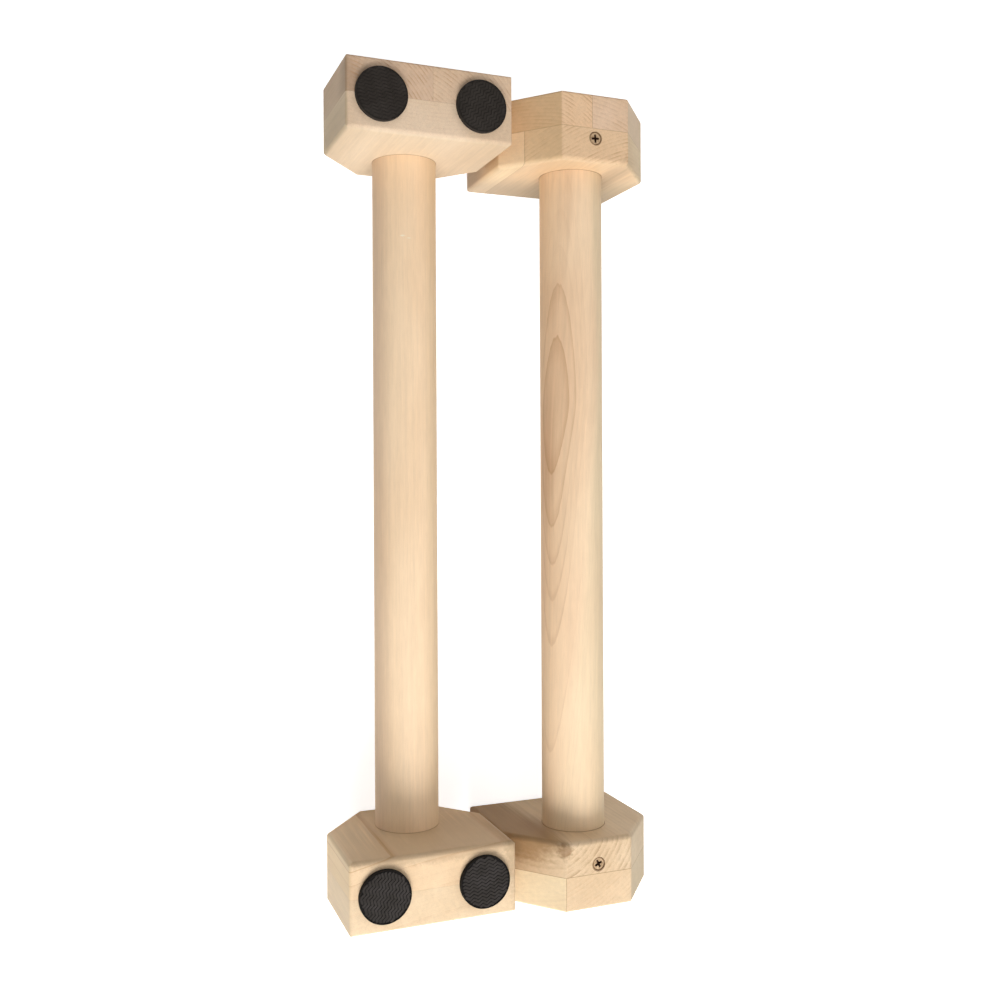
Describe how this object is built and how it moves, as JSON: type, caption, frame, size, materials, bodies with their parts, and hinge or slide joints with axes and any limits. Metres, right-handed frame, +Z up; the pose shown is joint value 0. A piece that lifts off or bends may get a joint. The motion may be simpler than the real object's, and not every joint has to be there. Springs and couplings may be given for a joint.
{
  "type": "parallette bar",
  "caption": "Low wooden parallette bars as a pair: a round rail between glued end blocks with rubber pads, one bar standing and the other lying upside down beside it.",
  "frame": {"origin": "on the floor, in the middle of the box that holds both bars", "axes": "+Z up from the floor, +Y along the rails towards the far end, +X from the turned bar to the standing bar"},
  "size_m": [0.207, 0.505, 0.095],
  "materials": {
    "rail_wood": "smooth sanded pale beech, clear matt finish, grain along the rail",
    "block_wood": "smooth sanded pale beech, clear matt finish, upright grain with end grain on the top and underside",
    "pad_rubber": "matt black rubber with a fine moulded pattern",
    "screw_steel": "dull bronze-brown zinc plate"
  },
  "bodies": {
    "standing_bar": {"standing_rail": "rail_wood", "standing_far_inner_left_stave": "block_wood", "standing_far_inner_right_stave": "block_wood", "standing_far_outer_left_stave": "block_wood", "standing_far_outer_right_stave": "block_wood", "standing_near_inner_board": "block_wood", "standing_near_outer_left_stave": "block_wood", "standing_near_outer_right_stave": "block_wood", "standing_far_screw": "screw_steel", "standing_near_screw": "screw_steel", "standing_far_left_pad": "pad_rubber", "standing_far_right_pad": "pad_rubber", "standing_near_left_pad": "pad_rubber", "standing_near_right_pad": "pad_rubber"},
    "turned_bar": {"turned_rail": "rail_wood", "turned_far_inner_board": "block_wood", "turned_far_outer_left_stave": "block_wood", "turned_far_outer_right_stave": "block_wood", "turned_near_inner_board": "block_wood", "turned_near_outer_board": "block_wood", "turned_far_screw": "screw_steel", "turned_near_screw": "screw_steel", "turned_far_left_pad": "pad_rubber", "turned_far_right_pad": "pad_rubber", "turned_near_left_pad": "pad_rubber", "turned_near_right_pad": "pad_rubber"}
  },
  "joints": [
    {"name": "spacing", "type": "slide", "parent": "standing_bar", "child": "turned_bar", "axis": [-1, 0, 0], "range_m": [0, 0.5]}
  ]
}
